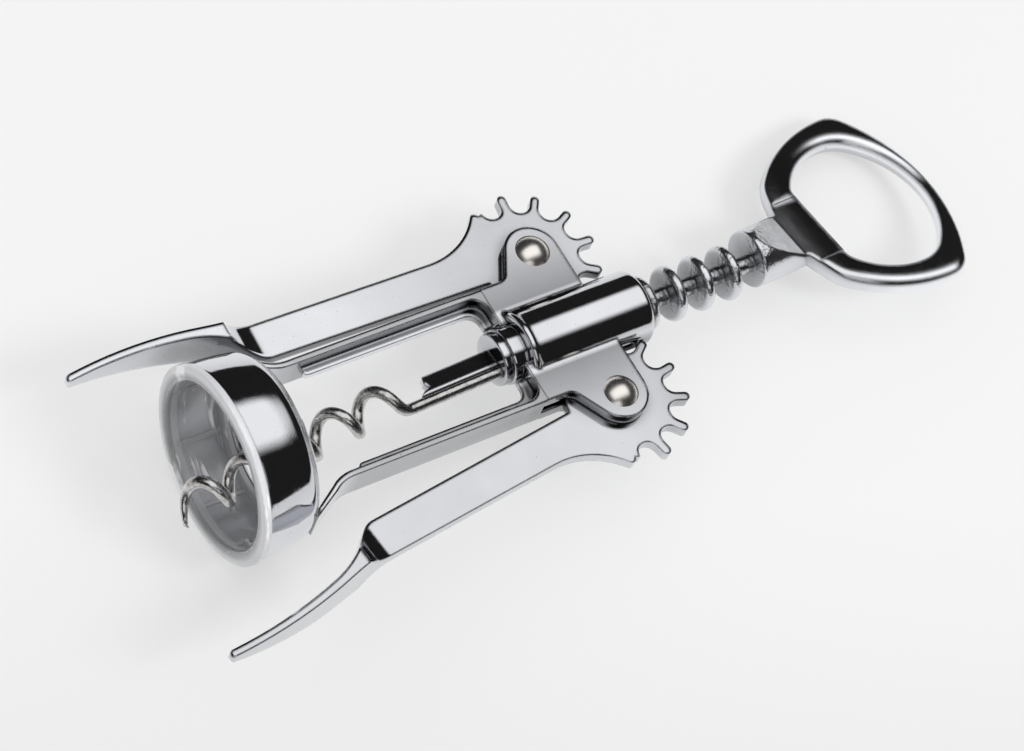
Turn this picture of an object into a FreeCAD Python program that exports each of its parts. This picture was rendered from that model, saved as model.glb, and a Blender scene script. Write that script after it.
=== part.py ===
import FreeCAD, Part
import math
import os
import Sketcher

# Wing corkscrew, in millimetres.
# X runs along the tool from the bell's mouth (x = 0) to the handle, Y runs from
# the axis out to the left wing, and Z is the normal of the plane the wings move in.
# At rest the wings are down and the toothed spindle is at the top of its travel.

os.makedirs("parts", exist_ok=True)
doc = FreeCAD.newDocument("WingCorkscrew")
V = FreeCAD.Vector
AXIS_X = V(1, 0, 0)
AXIS_Z = V(0, 0, 1)

# ---------------------------------------------------------------- driving sizes

DRIVING = [
    # wing pivots and gearing
    ("pivot_x", 75.6, "rivet centre, along the tool"),
    ("pivot_y", 16.0, "rivet centre, out from the tool's axis"),
    ("gear_tip_r", 14.0, "radius over the teeth"),
    ("first_tooth_r", 12.3, "radius over the lower tooth beside the arm"),
    ("gear_root_r", 9.9, "radius at the bottom of the tooth gaps"),
    ("tooth_pitch_a", 28.4, "angle from tooth to tooth"),
    ("tooth_first_a", 112.3, "angle of the tooth beside the arm"),
    ("tooth_count", 8, "teeth on a sector"),
    ("tooth_tip_w", 1.7, "width of a tooth at its round tip"),
    ("left_open_a", 1.4, "how far the left wing stands open at rest"),
    ("right_open_a", 7.2, "how far the right wing stands open at rest"),
    # wings
    ("wing_thick", 2.2, "thickness of the sector and the arm"),
    ("arm_in_y", 2.15, "inner edge of the arm, on the other side of it"),
    ("arm_end_x", 54.8, "where the flat arm ends"),
    ("lever_bore_r", 2.38, "hole for the rivet, running fit"),
    ("paddle_end_x", 90.8, "where the thumb paddle's round tip starts"),
    ("paddle_thick", 1.4, "thickness of the paddle"),
    ("leaf_half_z", 4.9, "half of the paddle's greatest depth"),
    ("leaf_tip_z", 1.1, "half of the paddle's depth at the tip"),
    ("cove_len", 6.7, "length of the hollow cove between arm and paddle"),
    ("cove_r", 7.8, "radius of that cove"),
    # frame
    ("strut_depth", 6.6, "depth of a strut"),
    ("ear_depth", 7.1, "depth over the two ears"),
    ("flare_x", 21.4, "where a strut starts to flare out to the bell"),
    ("gap_z", 2.5, "gap between the ears, for the wing"),
    ("strut_in_y", 11.3, "inner face of a strut"),
    ("strut_thick", 1.2, "thickness of a strut"),
    ("window_top_x", 61.7, "top end of the window"),
    ("window_corner_r", 3.0, "round corner at the top of the window"),
    ("ear_r", 5.3, "radius of the ear's lobe round the rivet"),
    ("rib_high", 1.7, "height of the rib inside a strut"),
    ("rib_thick", 1.3, "thickness of the rib"),
    ("rib_start_x", 24.3, "round end of the rib beside the bell"),
    # barrel
    ("barrel_r", 7.2, "outside radius of the barrel"),
    ("barrel_low_x", 63.0, "lower end of the barrel"),
    ("barrel_top_x", 89.6, "upper end of the barrel"),
    ("barrel_lip_r", 0.7, "round lip at the lower end of the barrel"),
    ("barrel_top_r", 1.0, "rounding of the barrel's upper end"),
    ("barrel_bore_r", 5.5, "bore of the barrel"),
    # bell
    ("bell_rim_x", 1.25, "metal rim of the bell, under the liner's flange"),
    ("bell_out_r", 18.25, "largest outside radius of the bell"),
    ("bell_crown_x", 2.0, "where the bell is largest"),
    ("bell_crown_r", 45.0, "radius of the bell's crowned side"),
    ("bell_crown_a", 10.0, "slope of that side where the shoulder starts"),
    ("bell_back_x", 12.8, "back face of the bell"),
    ("bell_in_r", 16.75, "inside radius of the bell"),
    ("bell_wall", 1.6, "thickness of the bell's back"),
    ("bell_hole_r", 12.9, "opening in the bell's back"),
    # liner
    ("liner_flange_r", 18.5, "radius of the liner's flange"),
    ("liner_bore_r", 15.6, "bore of the liner, over the bottle's lip"),
    ("liner_out_r", 16.7, "outside of the liner's sleeve"),
    ("liner_end_x", 11.1, "inner end of the liner"),
    ("liner_stop_r", 13.1, "opening in the liner's stop ring"),
    ("liner_stop_len", 0.9, "thickness of the liner's stop ring"),
    ("liner_rib_w", 0.8, "width of a rib inside the liner"),
    ("liner_rib_high", 0.45, "height of a rib inside the liner"),
    ("liner_ribs", 8, "ribs inside the liner"),
    # rivets
    ("rivet_head_r", 3.3, "radius of the domed head"),
    ("rivet_head_high", 1.6, "height of the domed head"),
    ("rivet_back_r", 3.0, "radius of the formed head at the back"),
    ("rivet_back_high", 1.0, "height of the formed head"),
    ("rivet_shank_r", 2.3, "radius of the shank"),
    # spindle
    ("ring_first_x", 72.3, "centre of the lowest ring"),
    ("ring_pitch", 6.3, "distance from ring to ring"),
    ("ring_count", 7, "rings on the spindle"),
    ("ring_r", 5.35, "radius of a ring"),
    ("ring_half_w", 1.05, "half width of a ring at its rim"),
    ("ring_root_half_w", 1.1, "half width of a ring at the core"),
    ("core_r", 1.75, "radius of the core between the rings"),
    ("foot_r", 3.9, "radius of the spindle inside the foot bush"),
    ("foot_head_r", 5.0, "radius of the head that keeps the foot bush on"),
    ("foot_top_r", 4.4, "radius of the spindle over the foot bush"),
    ("foot_low_x", 58.2, "lower end of the spindle's foot"),
    ("foot_head_len", 1.6, "length of that head"),
    ("boss_low_x", 116.2, "lower face of the boss"),
    ("boss_r", 5.65, "radius of the boss"),
    ("boss_top_x", 129.0, "upper end of the boss, inside the handle"),
    ("scoop_x", 117.2, "where the boss starts to be cut away to the web"),
    ("scoop_end_x", 126.2, "where that cut reaches the web"),
    ("spindle_turn_a", -9.0, "how far the handle is turned at rest"),
    # handle
    ("handle_end_x", 160.9, "far end of the handle"),
    ("handle_corner_x", 150.5, "centre of the handle's rounded corner"),
    ("handle_corner_y", 16.7, "centre of the handle's rounded corner"),
    ("handle_corner_r", 5.4, "radius of the handle's corner"),
    ("handle_side_r", 29.0, "radius of the handle's sides"),
    ("handle_turn_x", 130.5, "where the sides turn in to the boss"),
    ("handle_back_r", 8.5, "radius of that turn"),
    ("handle_lean_a", 19.1, "lean of the sides next to the boss"),
    ("askew_a", 2.9, "how far the boss and the handle stand askew of the rack"),
    ("askew_x", 98.0, "point on the axis that they are askew about"),
    ("handle_thick", 4.0, "thickness of the handle"),
    ("handle_draft_a", 16.0, "draft of the handle, to both sides of its middle plane"),
    ("handle_round_r", 0.9, "rounding of the handle's edges"),
    ("lip_x", 134.2, "straight lip that lifts a cap"),
    ("lip_corner_r", 3.0, "round corner beside the lip"),
    ("opening_end_x", 158.3, "far end of the opening"),
    ("opening_far_r", 18.7, "radius of the opening's far end"),
    ("opening_near_r", 14.8, "radius of the opening's sides"),
    ("opening_wide_x", 146.8, "where the opening is widest"),
    ("opening_half_y", 15.8, "half width of the opening"),
    ("web_half_z", 1.7, "half thickness of the web behind the lip"),
    ("web_half_y", 7.6, "half width of the web"),
    # tang
    ("tang_low_y", 1.52, "lower edge of the tang, beside the worm's shank"),
    ("tang_end_x", 43.6, "lower end of the flat tang"),
    ("tang_top_y", 2.2, "upper edge of the tang"),
    ("tang_thick", 1.6, "thickness of the tang"),
    ("tang_askew_a", 2.1, "how far the tang and the worm stand askew of the rack"),
    ("tang_askew_x", 64.0, "point on the axis that they are askew about"),
    # foot bush
    ("bush_r", 5.42, "outside radius of the foot bush, sliding in the barrel"),
    ("bush_bore_r", 3.96, "bore of the foot bush"),
    ("bush_len", 10.0, "length of the foot bush"),
    ("bush_gap", 0.08, "end play of the foot bush"),
    # worm
    ("wire_r", 1.1, "radius of the worm's wire"),
    ("worm_r", 2.85, "radius of the wire's centre line"),
    ("worm_pitch", 9.5, "pitch of the worm"),
    ("worm_tip_x", -10.3, "point of the worm"),
    ("worm_lean_a", 5.2, "how far the worm leans to the right wing"),
    ("worm_lift", 1.3, "how far the winding starts over to the left wing"),
    ("worm_shank_y", 2.6, "centre of the straight shank, out from the axis"),
    ("worm_shank_top_x", 64.0, "upper end of the shank, in the foot"),
    ("worm_start_x", 39.3, "where the shank starts to wind"),
    ("worm_blend_len", 4.6, "length over which the winding starts"),
    ("worm_taper_len", 5.0, "length of the worm's tapered point"),
    ("worm_point_r", 0.15, "radius of the worm's very point"),
    ("worm_points", 16, "points of the centre line in a turn"),
]

sheet = doc.addObject("Spreadsheet::Sheet", "Sizes")
for row, (alias, value, note) in enumerate(DRIVING, start=1):
    sheet.set("A%d" % row, alias)
    sheet.set("B%d" % row, str(value))
    sheet.set("C%d" % row, note)
    sheet.setAlias("B%d" % row, alias)
doc.recompute()


class Dim:
    """A size: its value, and the spreadsheet expression that the value comes from."""

    def __init__(self, value, text):
        self.value = float(value)
        self.text = text

    def __add__(self, other):
        other = dim(other)
        return Dim(self.value + other.value, "(%s + %s)" % (self.text, other.text))

    def __sub__(self, other):
        other = dim(other)
        return Dim(self.value - other.value, "(%s - %s)" % (self.text, other.text))

    def __mul__(self, other):
        other = dim(other)
        return Dim(self.value * other.value, "(%s * %s)" % (self.text, other.text))

    def __truediv__(self, other):
        other = dim(other)
        return Dim(self.value / other.value, "(%s / %s)" % (self.text, other.text))

    def __neg__(self):
        return Dim(-self.value, "(0 - %s)" % self.text)

    def __radd__(self, other):
        return dim(other) + self

    def __rsub__(self, other):
        return dim(other) - self

    def __rmul__(self, other):
        return dim(other) * self


def dim(number):
    """A plain number as a Dim."""
    if isinstance(number, Dim):
        return number
    return Dim(number, repr(float(number)))


def cos_of(angle):
    """Cosine of an angle in degrees."""
    return Dim(math.cos(math.radians(angle.value)), "cos(%s)" % angle.text)


def sin_of(angle):
    """Sine of an angle in degrees."""
    return Dim(math.sin(math.radians(angle.value)), "sin(%s)" % angle.text)


def root_of(number):
    """Square root."""
    return Dim(math.sqrt(number.value), "sqrt(%s)" % number.text)


class Sizes:
    """The driving sizes by name, as Dims."""


S = Sizes()
for alias, value, note in DRIVING:
    setattr(S, alias, Dim(value, "Sizes." + alias))

# --------------------------------------------------------------------- helpers


def bind(owner, path, size):
    """Bind a property of an object to a size."""
    owner.setExpression(path, dim(size).text)


def new_body(label):
    body = doc.addObject("PartDesign::Body", label)
    body.Label = label
    return body


def origin_plane(body, role):
    """One of the body's own origin planes."""
    for feature in body.Origin.OriginFeatures:
        if feature.Role == role:
            return feature
    raise ValueError(role)


def origin_axis(body, role):
    """One of the body's own origin axes."""
    return origin_plane(body, role)


def new_sketch(body, role, name):
    """An empty sketch on one of the body's origin planes."""
    sketch = body.newObject("Sketcher::SketchObject", name)
    sketch.AttachmentSupport = [(origin_plane(body, role), "")]
    sketch.MapMode = "FlatFace"
    return sketch


def set_askew(sketch, angle, hinge_x):
    """Turn a sketch about Z, at a point on the tool's axis."""
    role = sketch.AttachmentSupport[0][0].Role
    along = hinge_x * (1 - cos_of(angle))
    side = hinge_x * sin_of(angle)
    moves = {
        "XY_Plane": (("x", along), ("y", 0 - side)),
        "XZ_Plane": (("x", along), ("z", side)),
        "YZ_Plane": (("x", 0 - side), ("z", along)),
    }
    turn_axis = AXIS_Z if role == "XY_Plane" else V(0, 1, 0)
    turn = FreeCAD.Rotation(turn_axis, angle.value)
    sketch.AttachmentOffset = FreeCAD.Placement(V(0, 0, 0), turn)
    bind(sketch, "AttachmentOffset.Rotation.Angle", angle)
    for direction, size in moves[role]:
        bind(sketch, "AttachmentOffset.Base.%s" % direction, size)


def pin_point(sketch, shape, end, x, y):
    """Hold an end of a sketch element at x, y, bound to the sheet."""
    for kind, size, axis in (("DistanceX", dim(x), -2), ("DistanceY", dim(y), -1)):
        if abs(size.value) < 1e-9:
            sketch.addConstraint(Sketcher.Constraint("PointOnObject", shape, end, axis))
        else:
            rule = Sketcher.Constraint(kind, -1, 1, shape, end, size.value)
            number = sketch.addConstraint(rule)
            bind(sketch, "Constraints[%d]" % number, size)


def arc_through(start, end, radius, turn):
    """A short arc from start to end; turn is +1 to the left, -1 to the right."""
    chord = end - start
    left = V(-chord.y, chord.x, 0) / chord.Length
    reach = math.sqrt(max(radius ** 2 - (chord.Length / 2) ** 2, 0.0))
    centre = (start + end) / 2 + left * (turn * reach)
    first, last = (start, end) if turn > 0 else (end, start)
    angles = [math.atan2(p.y - centre.y, p.x - centre.x) for p in (first, last)]
    return Part.ArcOfCircle(Part.Circle(centre, V(0, 0, 1), radius), angles[0], angles[1])


def draw_loop(sketch, start, steps):
    """Draw a closed loop. A step is (x, y) for a line or (x, y, radius, turn) for an arc.

    The last step ends at the start. Every corner is held by two sizes and every
    arc by its radius."""
    corners = [start] + [step[:2] for step in steps[:-1]]
    spots = [V(dim(x).value, dim(y).value, 0) for x, y in corners]
    shapes = []
    for index, step in enumerate(steps):
        begin = spots[index]
        finish = spots[(index + 1) % len(spots)]
        if len(step) == 2:
            shape = sketch.addGeometry(Part.LineSegment(begin, finish), False)
            shapes.append((shape, 1, 2))
            continue
        radius = dim(step[2])
        curve = arc_through(begin, finish, radius.value, step[3])
        shape = sketch.addGeometry(curve, False)
        shapes.append((shape, 1, 2) if step[3] > 0 else (shape, 2, 1))
        number = sketch.addConstraint(Sketcher.Constraint("Radius", shape, radius.value))
        bind(sketch, "Constraints[%d]" % number, radius)
    for index, (shape, first, last) in enumerate(shapes):
        following = shapes[(index + 1) % len(shapes)]
        join = Sketcher.Constraint("Coincident", shape, last, following[0], following[1])
        sketch.addConstraint(join)
        pin_point(sketch, shape, first, corners[index][0], corners[index][1])


def trail(x, y, heading, moves):
    """Loop steps along a smooth trail. A move is (length,) for a straight run or
    (radius, turn) for an arc, with the turn in degrees, positive to the left."""
    steps = []
    for move in moves:
        if len(move) == 1:
            x = x + cos_of(heading) * move[0]
            y = y + sin_of(heading) * move[0]
            steps.append((x, y))
            continue
        radius, turn = move
        side = 1 if turn > 0 else -1
        after = heading + turn
        x = x + (sin_of(after) - sin_of(heading)) * (side * radius)
        y = y + (cos_of(heading) - cos_of(after)) * (side * radius)
        heading = after
        steps.append((x, y, radius, side))
    return steps


def touch(near, radius, far):
    """Where a small circle about near touches, from inside, a large one about far."""
    step_x = near[0] - far[0]
    step_y = near[1] - far[1]
    reach = root_of(step_x * step_x + step_y * step_y)
    return near[0] + step_x * radius / reach, near[1] + step_y * radius / reach


def draw_circle(sketch, x, y, radius):
    circle = Part.Circle(V(dim(x).value, dim(y).value, 0), V(0, 0, 1), dim(radius).value)
    shape = sketch.addGeometry(circle, False)
    number = sketch.addConstraint(Sketcher.Constraint("Radius", shape, dim(radius).value))
    bind(sketch, "Constraints[%d]" % number, radius)
    pin_point(sketch, shape, 3, x, y)


def pad(body, sketch, length, name):
    """A pad that runs the same way to both sides of its sketch."""
    feature = body.newObject("PartDesign::Pad", name)
    feature.Profile = sketch
    feature.SideType = "Symmetric"
    bind(feature, "Length", length)
    sketch.Visibility = False
    return feature


def pocket(body, sketch, length, name):
    """A pocket that runs the same way to both sides of its sketch."""
    feature = body.newObject("PartDesign::Pocket", name)
    feature.Profile = sketch
    feature.SideType = "Symmetric"
    bind(feature, "Length", length)
    sketch.Visibility = False
    return feature


def turned(body, sketch, name, axis="H_Axis", kind="PartDesign::Revolution"):
    """A full turn of a sketch about its own horizontal or vertical axis."""
    feature = body.newObject(kind, name)
    feature.Profile = sketch
    feature.ReferenceAxis = (sketch, [axis])
    feature.Angle = 360
    sketch.Visibility = False
    return feature


def face_edges(feature, height):
    """Names of the edges that bound the two flat faces at z = +height and -height."""
    names = []
    for index, edge in enumerate(feature.Shape.Edges, start=1):
        box = edge.BoundBox
        flat = box.ZLength < 1e-6 and abs(abs(box.ZMax) - height) < 1e-6
        if flat:
            names.append("Edge%d" % index)
    return names


def mirrored(body, originals, plane, name):
    """The features again on the other side of a plane of the body."""
    feature = body.newObject("PartDesign::Mirrored", name)
    feature.Originals = originals
    feature.MirrorPlane = (origin_plane(body, plane), [""])
    body.Tip = feature
    return feature


# ----------------------------------------------------------------------- frame


def make_frame():
    """Die-cast frame: bell, two ribbed struts, ears and barrel."""
    body = new_body("frame")

    bell = new_sketch(body, "XY_Plane", "bell_profile")
    crown = S.bell_crown_r
    crown_y = S.bell_out_r - crown
    edge_x = S.bell_rim_x - S.bell_crown_x
    slope = sin_of(S.bell_crown_a)
    fall = cos_of(S.bell_crown_a)
    shoulder_r = (S.bell_back_x - S.bell_crown_x - crown * slope) / (1 - slope)
    draw_loop(bell, (S.bell_rim_x, S.bell_in_r), [
        (S.bell_rim_x, crown_y + root_of(crown * crown - edge_x * edge_x)),
        (S.bell_crown_x + crown * slope, crown_y + crown * fall, crown, -1),
        (S.bell_back_x, crown_y + (crown - shoulder_r) * fall, shoulder_r, -1),
        (S.bell_back_x, S.bell_hole_r),
        (S.bell_back_x - S.bell_wall, S.bell_hole_r),
        (S.bell_back_x - S.bell_wall, S.bell_in_r),
        (S.bell_rim_x, S.bell_in_r),
    ])
    turned(body, bell, "bell")

    out_y = S.strut_in_y + S.strut_thick
    corner = S.window_corner_r
    strut = new_sketch(body, "XY_Plane", "strut_outline")
    draw_loop(strut, (S.window_top_x, 0), [
        (S.window_top_x, S.strut_in_y - corner),
        (S.window_top_x - corner, S.strut_in_y, corner, 1),
        (S.flare_x, S.strut_in_y),
        (S.flare_x - 4.9, S.strut_in_y + 1.7, 8.0, -1),
        (S.bell_back_x - 1.5, S.strut_in_y + 5.0),
        (S.bell_back_x - 1.5, S.strut_in_y + 6.0),
        (S.flare_x - 4.2, out_y + 1.45),
        (S.flare_x, out_y, 6.8, 1),
        (S.pivot_x - 8.0, out_y),
        (S.pivot_x - 8.0, 0),
        (S.window_top_x, 0),
    ])
    strut_pad = pad(body, strut, S.strut_depth, "strut")

    ear = new_sketch(body, "XY_Plane", "ear_outline")
    lean = dim(156.0)
    draw_loop(ear, (S.window_top_x + 0.4, 0), [
        (S.window_top_x + 0.4, out_y),
        (S.pivot_x - 9.6, out_y),
        (S.pivot_x - 7.22, out_y + 1.54, 2.6, 1),
        (S.pivot_x + S.ear_r * cos_of(lean), S.pivot_y + S.ear_r * sin_of(lean)),
        (S.pivot_x, S.pivot_y + S.ear_r, S.ear_r, -1),
        (S.pivot_x + S.ear_r, S.pivot_y, S.ear_r, -1),
        (S.pivot_x + S.ear_r, 0),
        (S.window_top_x + 0.4, 0),
    ])
    ear_pad = pad(body, ear, S.ear_depth, "ear")

    rib = new_sketch(body, "XY_Plane", "rib_outline")
    rib_y = S.strut_in_y - S.rib_high
    rib_x = S.window_top_x - S.rib_high
    rib_turn = dim(2.4)
    draw_loop(rib, (S.rib_start_x, S.strut_in_y + 0.3), [
        (S.rib_start_x, rib_y + 0.8),
        (S.rib_start_x + 0.8, rib_y, 0.8, 1),
        (rib_x - rib_turn, rib_y),
        (rib_x, rib_y - rib_turn, rib_turn, -1),
        (rib_x, S.barrel_bore_r + 0.4),
        (S.window_top_x + 0.4, S.barrel_bore_r + 0.4),
        (S.window_top_x + 0.4, S.strut_in_y + 0.3),
        (S.rib_start_x, S.strut_in_y + 0.3),
    ])
    rib_pad = pad(body, rib, S.rib_thick, "rib")
    mirrored(body, [strut_pad, ear_pad, rib_pad], "XZ_Plane", "other_side")

    barrel = new_sketch(body, "XY_Plane", "barrel_profile")
    lip = S.barrel_lip_r
    lip_out = S.barrel_r + 0.3
    draw_loop(barrel, (S.barrel_low_x, 0), [
        (S.barrel_low_x, lip_out - lip),
        (S.barrel_low_x + lip, lip_out, lip, -1),
        (S.barrel_low_x + 2 * lip, S.barrel_r),
        (S.barrel_top_x - S.barrel_top_r, S.barrel_r),
        (S.barrel_top_x, S.barrel_r - S.barrel_top_r, S.barrel_top_r, -1),
        (S.barrel_top_x, 0),
        (S.barrel_low_x, 0),
    ])
    turned(body, barrel, "barrel")

    bore = new_sketch(body, "XY_Plane", "bore_profile")
    draw_loop(bore, (S.barrel_low_x - 2, 0), [
        (S.barrel_low_x - 2, S.barrel_bore_r),
        (S.barrel_top_x + 2, S.barrel_bore_r),
        (S.barrel_top_x + 2, 0),
        (S.barrel_low_x - 2, 0),
    ])
    turned(body, bore, "bore", kind="PartDesign::Groove")

    slot = new_sketch(body, "XY_Plane", "wing_slot_outline")
    draw_circle(slot, S.pivot_x, S.pivot_y, S.gear_tip_r + 0.4)
    slot_cut = pocket(body, slot, S.gap_z, "wing_slot")
    hole = new_sketch(body, "XY_Plane", "rivet_hole_outline")
    draw_circle(hole, S.pivot_x, S.pivot_y, S.rivet_shank_r)
    hole_cut = pocket(body, hole, S.ear_depth + 2, "rivet_hole")
    mirrored(body, [slot_cut, hole_cut], "XZ_Plane", "other_slot")
    return body


# ----------------------------------------------------------------------- liner


def make_liner():
    """Plastic liner of the bell, with a flange over the rim and a stop ring."""
    body = new_body("bell_liner")
    profile = new_sketch(body, "XY_Plane", "liner_profile")
    edge = dim(0.5)
    stop_x = S.liner_end_x - S.liner_stop_len
    draw_loop(profile, (0, S.liner_bore_r + edge), [
        (0, S.liner_flange_r - edge),
        (edge, S.liner_flange_r, edge, -1),
        (S.bell_rim_x, S.liner_flange_r),
        (S.bell_rim_x, S.liner_out_r),
        (S.liner_end_x, S.liner_out_r),
        (S.liner_end_x, S.liner_stop_r),
        (stop_x, S.liner_stop_r),
        (stop_x, S.liner_bore_r),
        (edge, S.liner_bore_r),
        (0, S.liner_bore_r + edge, edge, -1),
    ])
    turned(body, profile, "sleeve")

    rib = new_sketch(body, "XY_Plane", "liner_rib_outline")
    rib_in = S.liner_bore_r - S.liner_rib_high
    draw_loop(rib, (1.6, rib_in), [
        (1.6, S.liner_bore_r + 0.4),
        (stop_x + 0.3, S.liner_bore_r + 0.4),
        (stop_x + 0.3, rib_in),
        (1.6, rib_in),
    ])
    rib_pad = pad(body, rib, S.liner_rib_w, "liner_rib")
    ring = body.newObject("PartDesign::PolarPattern", "liner_ribs")
    ring.Originals = [rib_pad]
    ring.Axis = (rib, ["H_Axis"])
    ring.Angle = 360
    bind(ring, "Occurrences", S.liner_ribs)
    body.Tip = ring
    return body


# ----------------------------------------------------------------------- wings


def make_wing(label):
    """A wing, drawn with its pivot at the origin and its arm along -X."""
    body = new_body(label)
    hub_r = S.gear_root_r
    tip_r = S.gear_tip_r
    inner_y = -S.arm_in_y
    end_x = -S.arm_end_x
    low_r = S.first_tooth_r
    first_gap = S.tooth_first_a - S.tooth_pitch_a / 2
    last_gap = S.tooth_first_a - S.tooth_pitch_a * (S.tooth_count - 0.5)
    tip_x = -S.paddle_end_x

    outline = new_sketch(body, "XY_Plane", "wing_outline")
    blade = trail(end_x, inner_y - 0.2, dim(180.3), [
        (4.0, -38.38),
        (3.89,),
        (20.0, 27.7),
        (75.0, 16.65),
        (S.paddle_thick / 2, -90.0),
        (S.paddle_thick / 2, -90.0),
        (84.0, -17.13),
        (56.6, 11.32),
        (36.2,),
        (15.4, 55.0),
    ])
    draw_loop(outline, blade[-1][:2], [
        (low_r * cos_of(S.tooth_first_a), low_r * sin_of(S.tooth_first_a), 1.0, -1),
        (low_r * cos_of(first_gap), low_r * sin_of(first_gap), low_r, -1),
        (tip_r * cos_of(first_gap), tip_r * sin_of(first_gap)),
        (tip_r, 0, tip_r, -1),
        (tip_r * cos_of(last_gap), tip_r * sin_of(last_gap), tip_r, -1),
        (hub_r * cos_of(last_gap), hub_r * sin_of(last_gap)),
        (-root_of(hub_r * hub_r - S.arm_in_y * S.arm_in_y), inner_y, hub_r, -1),
        (end_x, inner_y - 0.2),
    ] + blade)
    wing_pad = pad(body, outline, 2 * S.leaf_half_z + 1, "wing_blank")

    side = new_sketch(body, "XZ_Plane", "side_cut_outline")
    half = S.wing_thick / 2
    clear = dim(8.0)
    draw_loop(side, (16, half), [
        (end_x - 0.5, half),
        (end_x - 0.5 - S.cove_len, S.leaf_half_z, S.cove_r, -1),
        (tip_x + 0.4, S.leaf_tip_z + 0.1, 322.0, 1),
        (tip_x - 0.8, 0, 1.3, 1),
        (tip_x - 4, 0),
        (tip_x - 4, clear),
        (16, clear),
        (16, half),
    ])
    side_cut = pocket(body, side, 60, "side_cut")
    mirrored(body, [side_cut], "XY_Plane", "other_side_cut")

    gap = new_sketch(body, "XY_Plane", "gap_outline")
    gap.AttachmentOffset = FreeCAD.Placement(V(0, 0, 0), FreeCAD.Rotation(AXIS_Z, first_gap.value))
    bind(gap, "AttachmentOffset.Rotation.Angle", first_gap)
    side_a = S.tooth_pitch_a / 2
    tooth_half = S.tooth_tip_w / 2
    round_x = (S.gear_tip_r - tooth_half) * cos_of(side_a)
    round_y = (S.gear_tip_r - tooth_half) * sin_of(side_a)
    flank_x = tooth_half * sin_of(side_a)
    flank_y = tooth_half * cos_of(side_a)
    bottom_x = (S.gear_root_r - tooth_half) / (1 - sin_of(side_a))
    bottom_r = bottom_x - S.gear_root_r
    root_x = bottom_x - bottom_r * sin_of(side_a)
    root_y = bottom_r * cos_of(side_a)
    top_x = tip_r * cos_of(side_a)
    top_y = tip_r * sin_of(side_a)
    out_a = side_a + 0.5
    out_x = (tip_r + 1.5) * cos_of(out_a)
    out_top = (tip_r + 1.5) * sin_of(out_a)
    draw_loop(gap, (top_x, top_y), [
        (round_x + flank_x, round_y - flank_y, tooth_half, -1),
        (root_x, root_y),
        (root_x, -root_y, bottom_r, 1),
        (round_x + flank_x, flank_y - round_y),
        (top_x, -top_y, tooth_half, -1),
        (out_x, -out_top),
        (out_x, out_top),
        (top_x, top_y),
    ])
    gap_cut = pocket(body, gap, 6, "gap")
    gaps = body.newObject("PartDesign::PolarPattern", "gaps")
    gaps.Originals = [gap_cut]
    gaps.Axis = (origin_axis(body, "Z_Axis"), [""])
    gaps.Reversed = True
    gaps.Mode = "Spacing"
    bind(gaps, "Offset", S.tooth_pitch_a)
    bind(gaps, "Occurrences", S.tooth_count)
    body.Tip = gaps

    bore = new_sketch(body, "XY_Plane", "lever_bore_outline")
    draw_circle(bore, 0, 0, S.lever_bore_r)
    pocket(body, bore, 6, "lever_bore")
    return body


# ---------------------------------------------------------------------- rivets


def make_rivet(label):
    """A rivet along Z: domed head in front, flatter formed head at the back."""
    body = new_body(label)
    profile = new_sketch(body, "XZ_Plane", "rivet_profile")
    face = S.ear_depth / 2
    head_r = (S.rivet_head_r * S.rivet_head_r / S.rivet_head_high + S.rivet_head_high) / 2
    back_r = (S.rivet_back_r * S.rivet_back_r / S.rivet_back_high + S.rivet_back_high) / 2
    draw_loop(profile, (0, -face - S.rivet_back_high), [
        (S.rivet_back_r, -face, back_r, 1),
        (S.rivet_shank_r, -face),
        (S.rivet_shank_r, face),
        (S.rivet_head_r, face),
        (0, face + S.rivet_head_high, head_r, 1),
        (0, -face - S.rivet_back_high),
    ])
    turned(body, profile, "rivet_turned", axis="V_Axis")
    return body


# ------------------------------------------------------------------- foot bush


def make_bush():
    """Collar that turns on the spindle's foot and slides in the barrel."""
    body = new_body("foot_bush")
    profile = new_sketch(body, "XY_Plane", "bush_profile")
    low_x = S.foot_low_x + S.foot_head_len + S.bush_gap
    top_x = low_x + S.bush_len
    edge = dim(0.6)
    draw_loop(profile, (low_x, S.bush_bore_r), [
        (low_x, S.bush_r - edge),
        (low_x + edge, S.bush_r, edge, -1),
        (top_x, S.bush_r),
        (top_x, S.bush_bore_r),
        (low_x, S.bush_bore_r),
    ])
    turned(body, profile, "bush_turned")
    return body


# --------------------------------------------------------------------- spindle


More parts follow.
